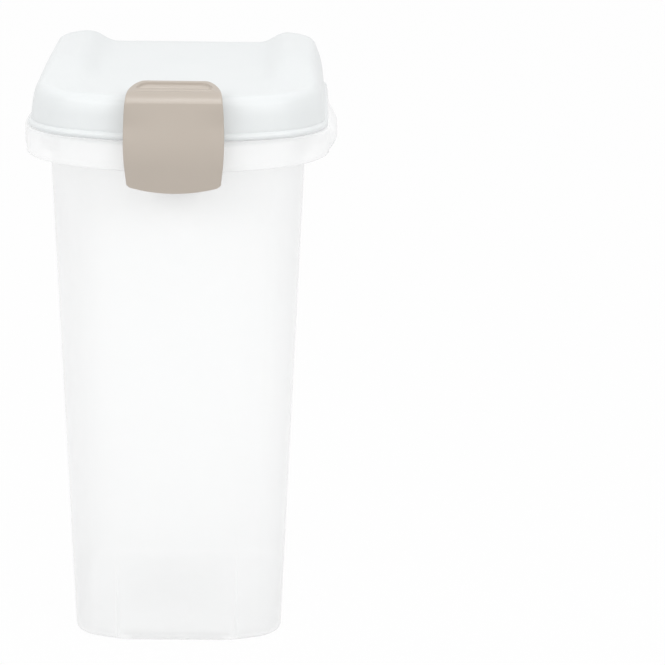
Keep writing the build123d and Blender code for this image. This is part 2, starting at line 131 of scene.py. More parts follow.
def skin(name, grid, body, material, closed_rows=False, node=None, smooth=None):
    """A mesh over a grid of places in millimetres, closed along its columns, its seams and poles merged."""
    rows, columns = grid.shape[:2]
    last = rows if closed_rows else rows - 1
    row = np.arange(last)[:, None]
    column = np.arange(columns)[None, :]
    after_row = (row + 1) % rows
    after_column = (column + 1) % columns
    corners = [row * columns + column, row * columns + after_column,
               after_row * columns + after_column, after_row * columns + column]
    faces = np.stack([np.broadcast_to(c, (last, columns)) for c in corners], -1).reshape(-1, 4)
    mesh = bpy.data.meshes.new(name)
    mesh.vertices.add(rows * columns)
    mesh.vertices.foreach_set("co", (grid * 0.001).reshape(-1))
    mesh.loops.add(faces.size)
    mesh.loops.foreach_set("vertex_index", faces.reshape(-1))
    mesh.polygons.add(len(faces))
    mesh.polygons.foreach_set("loop_start", np.arange(0, faces.size, 4))
    mesh.polygons.foreach_set("loop_total", np.full(len(faces), 4))
    mesh.update(calc_edges=True)
    work = bmesh.new()
    work.from_mesh(mesh)
    bmesh.ops.remove_doubles(work, verts=work.verts, dist=1e-6)
    bmesh.ops.recalc_face_normals(work, faces=work.faces)
    work.to_mesh(mesh)
    work.free()
    mesh.shade_smooth()
    if smooth:
        mesh.set_sharp_from_angle(angle=np.radians(smooth))
    piece = bpy.data.objects.new(name, mesh)
    bpy.context.scene.collection.objects.link(piece)
    mesh.materials.append(material)
    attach(piece, body)
    if node:
        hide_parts(node)


def mould_texture():
    """Shader group of a moulded surface: slow waves and a fine grain as one height, and a slow mask."""
    tree = bpy.data.node_groups.new("moulded surface", "ShaderNodeTree")
    for name, value in (("Wave Size", 30.0), ("Grain Size", 900.0), ("Grain Share", 0.3)):
        tree.interface.new_socket(name, in_out="INPUT", socket_type="NodeSocketFloat").default_value = value
    tree.interface.new_socket("Height", in_out="OUTPUT", socket_type="NodeSocketFloat")
    tree.interface.new_socket("Mask", in_out="OUTPUT", socket_type="NodeSocketFloat")
    nodes, links = tree.nodes, tree.links
    given = nodes.new("NodeGroupInput")
    out = nodes.new("NodeGroupOutput")
    place = nodes.new("ShaderNodeTexCoord")
    wave = nodes.new("ShaderNodeTexNoise")
    grain = nodes.new("ShaderNodeTexNoise")
    mix = nodes.new("ShaderNodeMix")
    wave.inputs["Detail"].default_value = 2.0
    grain.inputs["Detail"].default_value = 3.0
    links.new(place.outputs["Object"], wave.inputs["Vector"])
    links.new(place.outputs["Object"], grain.inputs["Vector"])
    links.new(given.outputs["Wave Size"], wave.inputs["Scale"])
    links.new(given.outputs["Grain Size"], grain.inputs["Scale"])
    links.new(given.outputs["Grain Share"], mix.inputs["Factor"])
    links.new(wave.outputs["Fac"], mix.inputs[2])
    links.new(grain.outputs["Fac"], mix.inputs[3])
    links.new(mix.outputs[0], out.inputs["Height"])
    links.new(wave.outputs["Fac"], out.inputs["Mask"])
    return tree


moulded = mould_texture()


def moulded_plastic(name, tints, roughness, texture, bump_strength, bump_depth):
    """A plastic with the moulded surface's bump, whose mask mixes two tints and two values of roughness.

    The texture is a wave size, a grain size and the grain's share. Returns the material and its tint.
    """
    material = bpy.data.materials.new(name)
    material.use_nodes = True
    nodes, links = material.node_tree.nodes, material.node_tree.links
    shader = nodes["Principled BSDF"]
    shader.inputs["IOR"].default_value = 1.49
    surface = nodes.new("ShaderNodeGroup")
    surface.node_tree = moulded
    for socket, value in zip(("Wave Size", "Grain Size", "Grain Share"), texture):
        surface.inputs[socket].default_value = value
    bump = nodes.new("ShaderNodeBump")
    bump.inputs["Strength"].default_value = bump_strength
    bump.inputs["Distance"].default_value = bump_depth
    colour = nodes.new("ShaderNodeMix")
    colour.data_type = "RGBA"
    colour.inputs[6].default_value = (*tints[0], 1.0)
    colour.inputs[7].default_value = (*tints[1], 1.0)
    rough = nodes.new("ShaderNodeMapRange")
    rough.inputs["To Min"].default_value = roughness[0]
    rough.inputs["To Max"].default_value = roughness[1]
    links.new(surface.outputs["Height"], bump.inputs["Height"])
    links.new(bump.outputs["Normal"], shader.inputs["Normal"])
    links.new(surface.outputs["Mask"], colour.inputs["Factor"])
    links.new(colour.outputs[2], shader.inputs["Base Color"])
    links.new(surface.outputs["Mask"], rough.inputs["Value"])
    links.new(rough.outputs["Result"], shader.inputs["Roughness"])
    return material, colour.outputs[2]


def milky_plastic(name, tints, facing_alpha, edge_alpha, light_alpha, roughness):
    """Milky polypropylene or silicone: more opaque where it is seen edge on, with a faintly clouded tint.

    Light that falls on it mostly passes on inside, so for rays that don't come from the camera its alpha
    is multiplied by light_alpha. Towards the bin's foot, which less light reaches, the tint is darkened as
    painted shade.
    """
    material, tint = moulded_plastic(name, tints, roughness, (22.0, 1400.0, 0.25), 0.12, 0.0004)
    nodes, links = material.node_tree.nodes, material.node_tree.links
    shader = nodes["Principled BSDF"]
    edge = nodes.new("ShaderNodeLayerWeight")
    edge.inputs["Blend"].default_value = 0.4
    alpha = nodes.new("ShaderNodeMapRange")
    alpha.inputs["To Min"].default_value = facing_alpha
    alpha.inputs["To Max"].default_value = edge_alpha
    path = nodes.new("ShaderNodeLightPath")
    seen = nodes.new("ShaderNodeMapRange")
    seen.inputs["To Min"].default_value = light_alpha
    passing = nodes.new("ShaderNodeMath")
    passing.operation = "MULTIPLY"
    # Painted shade: the tint is scaled from 1 at 80 mm height down to 0.94 at the bin's floor.
    place = nodes.new("ShaderNodeTexCoord")
    split = nodes.new("ShaderNodeSeparateXYZ")
    foot = nodes.new("ShaderNodeMapRange")
    foot.inputs["From Max"].default_value = 0.08
    foot.inputs["To Min"].default_value = 0.94
    shade = nodes.new("ShaderNodeVectorMath")
    shade.operation = "SCALE"
    links.new(edge.outputs["Facing"], alpha.inputs["Value"])
    links.new(path.outputs["Is Camera Ray"], seen.inputs["Value"])
    links.new(alpha.outputs["Result"], passing.inputs[0])
    links.new(seen.outputs["Result"], passing.inputs[1])
    links.new(passing.outputs["Value"], shader.inputs["Alpha"])
    links.new(place.outputs["Object"], split.inputs["Vector"])
    links.new(split.outputs["Z"], foot.inputs["Value"])
    links.new(tint, shade.inputs[0])
    links.new(foot.outputs["Result"], shade.inputs["Scale"])
    links.new(shade.outputs["Vector"], shader.inputs["Base Color"])
    return material


tub_tints = ((0.975, 0.978, 0.98), (0.965, 0.97, 0.973))
tub_plastic = milky_plastic("milky tub plastic", tub_tints, 0.34, 0.66, 0.22, (0.29, 0.39))


def arc(start, end, steps):
    """Angles from start to end in degrees, as radians."""
    return np.radians(np.linspace(start, end, steps))


def tub_profile():
    """The tub's closed profile: under the floor, up the outside, round the skirt, over the rim, down inside.

    Each row is an inset from the rim, a height, a shrink to the middle, how much the skirt's foot line
    lifts it, how much the side grips push it out, and whether the foot panel cuts it (outside 1, inside 2).
    """
    rows = []
    base_inset = mouth_inset + draft_run
    inner_mouth = mouth_inset + tub_wall
    top_levels = [skirt_waist, 321.0]

    def row(inset, height, shrink=1.0, lift=0.0, grip=0.0, panel=0):
        rows.append((inset, height, shrink, lift, grip, panel))

    def outer(height):
        return mouth_inset + draft_run * (1 - height / rim_height)

    for shrink in (0.0, 0.3, 0.6, 0.85, 1.0):
        row(base_inset + foot_round, 0.0, shrink, panel=1)
    for turn in arc(15, 90, 6):
        row(outer(foot_round) + foot_round * (1 - np.sin(turn)), foot_round * (1 - np.cos(turn)), panel=1)
    for height in np.concatenate([np.arange(5.0, 60.0, 1.5), np.linspace(66, 300, 24), top_levels]):
        row(outer(height), height, panel=1)
    row(outer(flange_under) - 0.6, flange_under - 0.5)
    row(outer(flange_under) - 1.8, flange_under)
    row(skirt_wall + 1.2, flange_under)
    row(skirt_wall + 0.2, flange_under - 0.4)
    for height in (grip_top, 321.5, 319.5, grip_shoulder):
        row(skirt_wall, height, grip=(grip_top - height) / (grip_top - grip_shoulder))
    row(skirt_wall, skirt_waist, grip=1.0, lift=0.3)
    row(skirt_wall, skirt_foot + 0.5, grip=1.0, lift=1.0)
    row(skirt_wall - 0.4, skirt_foot, grip=1.0, lift=1.0)
    row(0.5, skirt_foot, grip=1.0, lift=1.0)
    row(0.0, skirt_foot + 0.5, grip=1.0, lift=1.0)
    row(0.0, skirt_waist, grip=1.0, lift=0.3)
    for height in (grip_shoulder - 0.6, grip_shoulder + 0.4, 319.5, 321.5, grip_top - 0.5, grip_top + 0.5):
        push = np.clip((grip_top + 0.3 - height) / (grip_top - grip_shoulder), 0.0, 1.0)
        row(0.0, height, grip=push)
    for turn in arc(0, 90, 5):
        row(rim_round * (1 - np.cos(turn)), rim_height - rim_round * (1 - np.sin(turn)))
    for turn in arc(90, 0, 5):
        row(inner_mouth - mouth_round * (1 - np.cos(turn)), rim_height - mouth_round * (1 - np.sin(turn)))
    for height in np.concatenate([top_levels[::-1], np.linspace(300, 66, 24), np.arange(60.0, 5.0, -1.5)]):
        row(outer(height) + tub_wall, height, panel=2)
    for turn in arc(0, 90, 6):
        height = tub_floor + floor_round * (1 - np.sin(turn))
        row(outer(height) + tub_wall + floor_round * (1 - np.cos(turn)), height, panel=2)
    for shrink in (0.85, 0.6, 0.3, 0.0):
        row(base_inset + tub_wall + floor_round, tub_floor, shrink, panel=2)
    return [np.array(column, float)[:, None] for column in zip(*rows)]


def tub_grid():
    """The profile carried round the outline, with the skirt's curved foot, the grips and the foot panel."""
    outline = rim_outline(70, 26, 34, 22, 14)
    inset, height, shrink, lift, grip, panel = tub_profile()
    grid = carried(outline, inset, height, shrink)
    x, y, z = grid[..., 0], grid[..., 1], grid[..., 2]
    z = z + lift * skirt_lift * (x / skirt_lift_at) ** 2
    bulge = np.clip(1 - ((y - grip_middle) / grip_half) ** 2, 0, None) * grip_reach
    on_side = np.abs(outline[2][:, 0]) > 0.999
    x = x + np.sign(x) * bulge * grip * on_side
    behind = panel_foot - panel_lean * np.minimum(z, panel_head) / panel_head
    rise = np.clip((z - panel_fade_foot) / panel_fade, 0, 1)
    fade = 1 - rise * rise * (3 - 2 * rise)
    plane = rim_front + mouth_inset + draft_run + behind + np.where(panel == 2, tub_wall, 0.0)
    half = panel_half + np.where(panel == 2, tub_wall, 0.0)
    edge = np.clip((half + panel_edge / 2 - np.abs(x)) / panel_edge, 0, 1)
    edge = edge * edge * (3 - 2 * edge)
    push = np.where(panel > 0, edge * fade * np.clip(plane - y, 0, None), 0.0)
    return np.dstack([x, y + push, z])


skin("tub", tub_grid(), "bin", tub_plastic, node="bin_body")

# Ribs of the rim: thin webs that tie the skirt to the tub, moulded with it in the same milky plastic.
# Each is a thin plate whose lower edge is highest at the skirt.
rib_thickness = 1.6
rib_drop = 13.0
rib_rise = 3.0
rib_reach = 13.0
corner_rib = np.radians(53.0)
corner_x = rim_width / 2 - front_corner
corner_y = rim_front + bow_radius - np.sqrt((bow_radius - front_corner) ** 2 - corner_x**2)
corner_radius = front_corner - 0.8 * skirt_wall
corner_rib_x = corner_x + corner_radius * np.sin(corner_rib)
corner_rib_y = corner_y - corner_radius * np.cos(corner_rib)


def rib_grid(place, heading):
    """A plate across the skirt's pocket, whose lower edge rises to the skirt in a parabola."""
    along = np.linspace(-0.4, rib_reach, 9)
    foot = rim_height - rib_drop + rib_rise * (1 - along / rib_reach) ** 2
    top = np.full_like(along, flange_under + 0.5)
    loop_along = np.concatenate([along, along[::-1]])
    loop_height = np.concatenate([foot, top])
    near = np.array([np.sin(heading), -np.cos(heading)])
    across = np.array([np.cos(heading), np.sin(heading)])
    half = rib_thickness / 2
    rows = []
    for side, pull in ((-half, 0.0), (-half, 1.0), (half, 1.0), (half, 0.0)):
        flat = loop_along.mean() + (loop_along - loop_along.mean()) * pull
        level = loop_height.mean() + (loop_height - loop_height.mean()) * pull
        spot = np.array(place) - flat[:, None] * near + side * across
        rows.append(np.column_stack([spot, level]))
    return np.stack(rows)


for number, (rib_x, rib_y, rib_heading) in enumerate((
    (corner_rib_x, corner_rib_y, corner_rib),
    (90.5, -51.0, np.radians(90.0)),
    (90.5, 61.0, np.radians(90.0)),
    (79.0, 101.5, np.radians(135.0)),
    (21.0, 113.0, np.radians(180.0)),
)):
    for side in (1, -1):
        grid = rib_grid((rib_x, rib_y), rib_heading)
        grid[..., 0] *= side
        label = "rib_%d_%s" % (number + 1, "right" if side > 0 else "left")
        skin(label, grid, "bin", tub_plastic, smooth=40)

# Catch bar: a raised bar with sloped edges across the front of the skirt, moulded with the tub.
# The latch's hook snaps under it.
catch_half = 16.0
catch_foot = 310.5
catch_reach = 2.6
catch_height = 6.0


def bar_grid(profile, half, bevel, middle=0.0):
    """A closed profile of depths and heights drawn along X, with bevelled and closed ends."""
    profile = np.asarray(profile, float)
    centre = profile.mean(0)
    drawn = []
    for x, pull in ((-half, 0.0), (-half, 1.0 - bevel), (-half + 0.4, 1.0),
                    (half - 0.4, 1.0), (half, 1.0 - bevel), (half, 0.0)):
        ring = centre + (profile - centre) * pull
        drawn.append(np.column_stack([np.full(len(ring), middle + x), ring]))
    return np.stack(drawn)


catch_slope = np.tan(np.radians(40.0))
catch_rise = catch_reach * catch_slope
catch_profile = [
    (rim_front + 1.0, catch_foot), (rim_front, catch_foot),
    (rim_front - catch_reach, catch_foot + catch_rise),
    (rim_front - catch_reach, catch_foot + catch_height),
    (rim_front + 1.0, catch_foot + catch_height + catch_rise),
]
catch_grid = bar_grid(catch_profile, catch_half, 0.06)
skin("catch_bar", catch_grid, "bin", tub_plastic, smooth=30)

# Hinge lugs: two pairs of ears on the rear skirt, moulded with the tub, that hold the hinge pins.
# Each is a web that tapers from the skirt to a round eye.
hinge_y = rim_rear + 6.0
hinge_z = 319.5
knuckle = 4.5
hinge_stations = (-36.0, 36.0)
lug_middle = 9.9
lug_half = 2.5


def eye_profile(foot_points):
    """A round eye about the hinge line, joined to the given foot points, run in order round the shape."""
    turns = np.radians(np.linspace(-75, 105, 17))
    eye = np.column_stack([hinge_y + knuckle * np.cos(turns), hinge_z + knuckle * np.sin(turns)])
    return np.concatenate([eye, foot_points])


lug_profile = eye_profile(np.array([(rim_rear - 0.8, 322.8), (rim_rear - 0.8, 309.8)]))
for number, station in enumerate(hinge_stations):
    for side in (-1, 1):
        grid = bar_grid(lug_profile, lug_half, 0.05, station + side * lug_middle)
        skin("hinge_lug_%d_%s" % (number + 1, "b" if side > 0 else "a"), grid, "bin", tub_plastic,
             smooth=35)

# Hinge pins: two short plain rods with rounded ends, pressed into the lugs. The lid's tongues turn on them.
# They are the same natural plastic as the lid.
pin_radius = 2.0
pin_half = 12.9
pin_dome = 0.6


def rod_grid(y, z, radius, half, dome, middle=0.0, around=28):
    """A rod along X: circles of a radius that falls away on an elliptical dome at both ends."""
    bend = np.radians(np.linspace(0, 90, 7))
    run = np.concatenate([dome * (1 - np.sin(bend[::-1])) - half, half - dome * (1 - np.sin(bend))])
    size = radius * np.cos(np.concatenate([bend[::-1], bend]))[:, None]
    turn = np.linspace(0, 2 * np.pi, around, endpoint=False)[None, :]
    return np.dstack([np.broadcast_to(middle + run[:, None], (len(run), around)),
                      y + size * np.cos(turn), z + size * np.sin(turn)])


lid_tints = ((0.803, 0.824, 0.827), (0.788, 0.812, 0.817))
lid_plastic = milky_plastic("milky lid plastic", lid_tints, 0.78, 0.95, 0.4, (0.33, 0.43))
for name, station in zip(("left", "right"), hinge_stations):
    grid = rod_grid(hinge_y, hinge_z, pin_radius, pin_half, pin_dome, station)
    skin("hinge_rod_" + name, grid, "bin", lid_plastic, node="hinge_pin_" + name)

# Lid: a milky polypropylene cover with a low saddle between two wings that run from front to rear.
# Its sides lean in from a round bead at the foot to a soft crease, and the shell is one even wall.
# It is one moulding with its plug ring, tongues and ears, and turns on the two hinge pins.
lid_foot = rim_height + 0.3
saddle = lid_foot + 25.5
wing_rise = 8.0
wing_top = saddle + wing_rise
wing_shoulder = 67.0
saddle_half = 46.0
wing_front = -95.0
wing_front_run = 105.0
lid_wall = 1.8
side_foot_inset = 2.4
side_waist_inset = 4.4
side_top_inset = 10.0
waist = lid_foot + 18.0
waist_round = 5.0
crease_round = 5.0
inner_crease_round = 4.0
side_bottom = lid_foot + 4.6
top_ring = 22.0


def side_inset(z):
    """How far the side is in from the rim at height z: two slopes that meet in a parabola at the waist."""
    low = (side_waist_inset - side_foot_inset) / (waist - lid_foot)
    high = (side_top_inset - side_waist_inset) / (wing_top - waist)
    past = np.clip(z - waist, -waist_round, waist_round)
    bend = (past + waist_round) ** 2 / (4 * waist_round) + np.clip(z - waist - waist_round, 0, None)
    return side_foot_inset + low * (z - lid_foot) + (high - low) * bend


def lid_height(x, y):
    """The top's height: a level saddle, an S-curve up to each wing, and wings that rise from the front."""
    step = np.clip((np.abs(x) - saddle_half) / (wing_shoulder - saddle_half), 0, 1)
    curve = np.where(step < 0.5, 2 * step**2, 1 - 2 * (1 - step) ** 2)
    back = np.clip((y - wing_front) / wing_front_run, 0, 1)
    return saddle + wing_rise * curve * (3 * back**2 - 2 * back**3)


def lid_rows(outline, wall, round_reach, steps):
    """Places from the lid's middle out to its foot, for a skin that lies wall inside the outside.

    The crease is where the leaning side meets the top. It is rounded by a parabola that leaves the top
    and the side at round_reach from the crease and has the crease as its control point.
    """
    centre, radius, normal = outline
    crease = np.full(len(radius), 8.0)

    def flat(inset):
        return centre + (radius - inset)[:, None] * normal

    for _ in range(12):
        spot = flat(crease + wall)
        crease = side_inset(lid_height(spot[:, 0], spot[:, 1]) - wall)
    top_start = crease + wall + round_reach
    spot = flat(top_start)
    rows = []
    inner = flat(np.full(len(radius), top_ring))
    for shrink in steps:
        place = inner * shrink
        rows.append(np.column_stack([place, lid_height(place[:, 0], place[:, 1]) - wall]))
    for share in np.linspace(0, 1, 6)[1:-1]:
        place = flat(top_ring + (top_start - top_ring) * share)
        rows.append(np.column_stack([place, lid_height(place[:, 0], place[:, 1]) - wall]))
    first = np.column_stack([spot, lid_height(spot[:, 0], spot[:, 1]) - wall])
    corner_flat = flat(crease + wall)
    corner_z = lid_height(corner_flat[:, 0], corner_flat[:, 1]) - wall
    corner = np.column_stack([corner_flat, corner_z])
    low_z = corner_z - round_reach
    last = np.column_stack([flat(side_inset(low_z) + wall), low_z])
    for share in np.linspace(0, 1, 11):
        rows.append((1 - share) ** 2 * first + 2 * share * (1 - share) * corner + share**2 * last)
    for share in np.linspace(0, 1, 17)[1:]:
        z = low_z + (side_bottom - low_z) * share
        rows.append(np.column_stack([flat(side_inset(z) + wall), z]))
    return rows


def lid_grid():
    """The outer skin from the middle to the foot, the bead round the foot, and the inner skin back."""
    outline = rim_outline(56, 30, 46, 26, 26)
    centre, radius, normal = outline
    steps = np.concatenate([[0.0], np.linspace(0.04, 0.55, 12), np.linspace(0.58, 1.0, 22)])
    outer = lid_rows(outline, 0.0, crease_round, steps)
    inner = lid_rows(outline, lid_wall, inner_crease_round, steps[::2])
    bead = [(3.1, 4.1), (2.6, 3.75), (2.1, 3.5), (1.5, 3.3), (1.1, 2.9), (0.85, 2.3), (0.8, 1.7),
            (0.85, 1.1), (1.1, 0.6), (1.5, 0.2), (2.0, 0.0), (3.2, 0.0), (4.2, 0.0), (4.2, 1.0), (4.25, 3.0)]
    for inset, lift in bead:
        place = centre + (radius - inset)[:, None] * normal
        outer.append(np.column_stack([place, np.full(len(radius), lid_foot + lift)]))
    return np.stack(outer + inner[::-1])


skin("lid_shell", lid_grid(), "lid", lid_plastic, node="lid")

# Plug ring: the wall under the lid that enters the tub's mouth, with a ledge that holds the seal down.
# It is moulded with the lid. Its profile gives insets, heights over its foot, and a 1 for the two points
# that reach up into the lid's top.
plug_inset = 17.5
plug_wall = 1.6
plug_foot = lid_foot - 6.5
plug_outline = rim_outline(40, 20, 12, 18, 8)
ledge_inset = plug_inset - 2.5
plug_inside = plug_inset + plug_wall
plug_profile = np.array([
    (plug_inset, 0.0, 0), (plug_inset, 9.3, 0), (ledge_inset, 9.3, 0), (ledge_inset, 10.9, 0),
    (plug_inset, 10.9, 0), (plug_inset, 1.0, 1), (plug_inside, 1.0, 1), (plug_inside, 0.5, 0),
    (plug_inset + 1.0, -0.1, 0), (plug_inset + 0.5, -0.1, 0),
])
plug_grid = carried(plug_outline, plug_profile[:, :1], plug_foot + plug_profile[:, 1:2])
plug_top = lid_height(plug_grid[..., 0], plug_grid[..., 1]) - plug_profile[:, 1:2]
plug_grid[..., 2] = np.where(plug_profile[:, 2:] > 0, plug_top, plug_grid[..., 2])
skin("plug_ring", plug_grid, "lid", lid_plastic, closed_rows=True, smooth=40)

# Seal: a soft ring of pale silicone, stretched round the plug and held under its ledge.
# Its two lips press on the tub's flange. Its profile gives insets from its outer edge, and heights.
seal_inset = plug_inset - 5.05
seal_profile = np.array([
    (0.0, 0.2), (0.4, 0.0), (1.0, 0.0), (1.3, 0.3), (1.5, 1.2), (1.8, 1.2), (1.9, 0.3), (2.2, 0.0),
    (2.8, 0.0), (3.1, 0.3), (3.3, 1.2), (4.9, 1.2), (4.9, 2.7), (0.3, 2.8), (0.0, 2.4),
])
silicone_tints = ((0.84, 0.85, 0.84), (0.80, 0.815, 0.81))
silicone = milky_plastic("pale silicone", silicone_tints, 0.9, 0.98, 0.6, (0.45, 0.55))
seal_grid = carried(plug_outline, seal_inset + seal_profile[:, :1], lid_foot + seal_profile[:, 1:])
skin("seal_ring", seal_grid, "lid", silicone, closed_rows=True, node="lid_seal", smooth=50)

# Hinge tongues: two straps from the lid's rear foot that reach back over the rim and wrap the pins.
# They are moulded with the lid in its milky plastic.
tongue_half = 7.0
tongue_points = np.array([
    (rim_rear + 1.0, lid_foot + 4.0), (rim_rear - 2.6, lid_foot + 4.0), (rim_rear - 2.6, lid_foot + 0.05),
    (rim_rear + 1.05, lid_foot + 0.05), (rim_rear + 1.1, hinge_z - 1.0),
])
for number, station in enumerate(hinge_stations):
    grid = bar_grid(eye_profile(tongue_points), tongue_half, 0.04, station)
    skin("hinge_tongue_%d" % (number + 1), grid, "lid", lid_plastic, smooth=35)

# Latch lugs and latch pin: two small ears on top of the lid hold a thin rod on which the latch turns.
# The ears are moulded with the lid. The rod is pushed through them and is the latch's opaque satin plastic.
latch_pin_y = -93.0
latch_pin_z = saddle + 3.1
latch_pin_radius = 1.4
latch_pin_half = 16.0
latch_pin_dome = 0.3
ear_radius = 2.5
ear_middle = 9.9
ear_half = 2.5
ear_foot = saddle - 0.9
ear_turns = np.radians(np.linspace(0, 180, 15))
ear_head = ear_radius * np.column_stack([np.cos(ear_turns), np.sin(ear_turns)])
ear_profile = np.concatenate([
    (latch_pin_y, latch_pin_z) + ear_head,
    [(latch_pin_y - ear_radius, ear_foot), (latch_pin_y + ear_radius, ear_foot)],
])
for name, side in (("left", -1), ("right", 1)):
    grid = bar_grid(ear_profile, ear_half, 0.05, side * ear_middle)
    skin("latch_ear_" + name, grid, "lid", lid_plastic, smooth=35)

taupe_tints = ((0.473, 0.419, 0.364), (0.458, 0.404, 0.349))
fine_grain = (60.0, 2600.0, 0.7)
taupe, _ = moulded_plastic("taupe satin plastic", taupe_tints, (0.28, 0.38), fine_grain, 0.10, 0.0002)
latch_pin_grid = rod_grid(latch_pin_y, latch_pin_z, latch_pin_radius, latch_pin_half, latch_pin_dome)
skin("latch_rod", latch_pin_grid, "lid", taupe, node="latch_pin")

# Latch: one moulded taupe plate that hangs from its pin on top of the lid, bends over the front crease
# and reaches down over the skirt. Its face follows the bow of the rim and curves in again at its foot,
# and a crescent groove follows the rounded rear edge of its top. Depths run back from the rim's front.
latch_half = 30.1
latch_bulge = 1.7
latch_bottom = rim_height - 29.9
bottom_bulge = 3.7
bottom_corner = 2.4
face_foot = (-4.5, latch_bottom - 2.6)
face_belly = (-7.85, rim_height - 6.0)
face_shoulder = (-1.8, saddle - 2.1)
belly_round = 60.0
bend_rear = (6.4, saddle + 3.8)
bend_flat = 0.64
straight_foot = rim_height + 8.0
straight_head = saddle - 2.0
hood_radius = 4.4
hood_end = np.radians(100.0)
plate = 2.6
hood_plate = 1.7
hood_thin_from = 13.0
hood_thin_run = 5.0
plate_round = 0.7
top_corner = 13.2
top_reach = latch_pin_y - rim_front + hood_radius * np.sin(hood_end - np.pi / 2) + 0.3
top_flat = latch_half - latch_bulge - top_corner
groove_inset = 5.6
groove_half = 1.9
groove_edge = 0.9
groove_depth = 1.5
groove_end = 40.0
groove_taper = 35.0
wave_middle = 13.5
wave_taper = 8.0
wave_front = 2.0
waves = ((1.4, 0.5, 0.8), (-1.5, -0.8, 1.2), (-4.4, 0.3, 0.9), (-6.0, -0.3, 0.7))


def latch_line():
    """Side view of the latch's outside: lengths along it, depths and heights.

    Two straight stretches with a round belly between them, a slope from the shoulder to the bend that
    bulges less than a round one, a straight slope that just touches the hood, and the hood, a part circle
    about the pin.
    """
    foot, belly, shoulder = (np.array(spot) for spot in (face_foot, face_belly, face_shoulder))
    down = (foot - belly) / np.hypot(*(foot - belly))
    rise = (shoulder - belly) / np.hypot(*(shoulder - belly))
    half_turn = (np.pi - np.arccos(down @ rise)) / 2
    run = belly_round * np.tan(half_turn)
    share = np.linspace(0, 1, 60)[:, None]
    lower_end, upper_end = belly + run * down, belly + run * rise
    round_belly = (1 - share) ** 2 * lower_end + 2 * share * (1 - share) * belly + share**2 * upper_end
    chord = np.array(bend_rear) - shoulder
    turn = 2 * (np.arctan2(chord[1], chord[0]) - np.arctan2(rise[1], rise[0]))
    radius = np.hypot(*chord) / (2 * np.sin(abs(turn) / 2))
    start = np.arctan2(rise[1], rise[0])
    swing = start + turn * np.linspace(0, 1, 50)
    side = np.sign(turn)
    swept = np.column_stack([np.sin(swing) - np.sin(start), np.cos(start) - np.cos(swing)])
    bend = shoulder + radius * side * swept
    bend = bend + bend_flat * (shoulder + np.linspace(0, 1, 50)[:, None] * chord - bend)
    pin = np.array([latch_pin_y - rim_front, latch_pin_z])
    span = pin - bend[-1]
    slope = np.arctan2(span[1], span[0]) + np.arcsin(hood_radius / np.hypot(*span))
    round_hood = np.linspace(np.pi / 2 - slope, hood_end, 40)
    hood = pin + hood_radius * np.column_stack([-np.cos(round_hood), np.sin(round_hood)])
    line = np.concatenate([foot[None], round_belly, shoulder[None], bend[1:], hood])
    length = np.concatenate([[0], np.cumsum(np.hypot(*np.diff(line, axis=0).T))])
    return length, line[:, 0], line[:, 1]


line_length, line_depth, line_height = latch_line()
latch_start = np.interp(latch_bottom, line_height[:60], line_length[:60])
latch_end = line_length[-1]
face_middle = (latch_bottom + bottom_bulge + bend_rear[1]) / 2
face_reach = bend_rear[1] - face_middle


def latch_surface(x, along):
    """The latch's outside: its side view carried round the rim's bow, and lifted in a bow at the foot.

    From straight_foot up to straight_head the rim's bow fades, so that the top runs straight across.
    """
    fade = np.clip(1 - (along - latch_start) / face_reach, 0, 1)
    along = along + bottom_bulge * (x / (latch_half - latch_bulge)) ** 2 * fade
    depth = np.interp(along, line_length, line_depth)
    height = np.interp(along, line_length, line_height)
    straight = np.clip((height - straight_foot) / (straight_head - straight_foot), 0, 1)
    straight = straight * straight * (3 - 2 * straight)
    bowed = bow_radius - np.sqrt((bow_radius - depth) ** 2 - x**2)
    return np.stack([x, rim_front + bowed + (depth - bowed) * straight, height], -1)


def latch_half_width(along):
    """Half the width: a slight bow of the sides, round corners at the foot, an ellipse at the rear."""
    depth = np.interp(along, line_length, line_depth)
    height = np.interp(along, line_length, line_height)
    half = latch_half - latch_bulge * np.clip((height - face_middle) / face_reach, -1, 1) ** 2
    from_foot = np.clip(bottom_corner - (along - latch_start), 0, None)
    half = half - bottom_corner + np.sqrt(np.clip(bottom_corner**2 - from_foot**2, 0, None))
    back = np.clip(depth / top_reach, 0, 1)
    return half - top_corner * (1 - np.sqrt(1 - back**2))


def crescent(x, depth):
    """How deep the crescent and the soft waves before it are.

    The crescent lies at a distance from the top's rear edge and tapers to its ends. Each of the waves is a
    bell curve along the top: its place from wave_middle, its height and its width.
    """
    out = np.clip(np.abs(x) - top_flat, 0, None) / top_corner
    back = np.clip(depth, 0, None) / top_reach
    inset = (1 - np.hypot(out, back)) * top_reach
    turn = np.degrees(np.arctan2(back, out))
    taper = np.clip((turn - groove_end) / groove_taper, 0, 1)
    half = groove_half * (0.2 + 0.8 * taper)
    groove = np.clip((half + groove_edge / 2 - np.abs(inset - groove_inset)) / groove_edge, 0, 1)
    groove = groove_depth * (0.4 + 0.6 * taper) * groove * groove * (3 - 2 * groove)
    bow = wave_middle - (np.abs(x) / latch_half) ** 2
    wave = sum(height * np.exp(-(((depth - bow - place) / width) ** 2)) for place, height, width in waves)
    inside = np.clip((inset - groove_inset - half) / 1.5, 0, 1) * (depth > wave_front)
    fade = np.clip((turn - groove_end) / wave_taper, 0, 1) * (depth > wave_front)
    return fade * groove - inside * wave


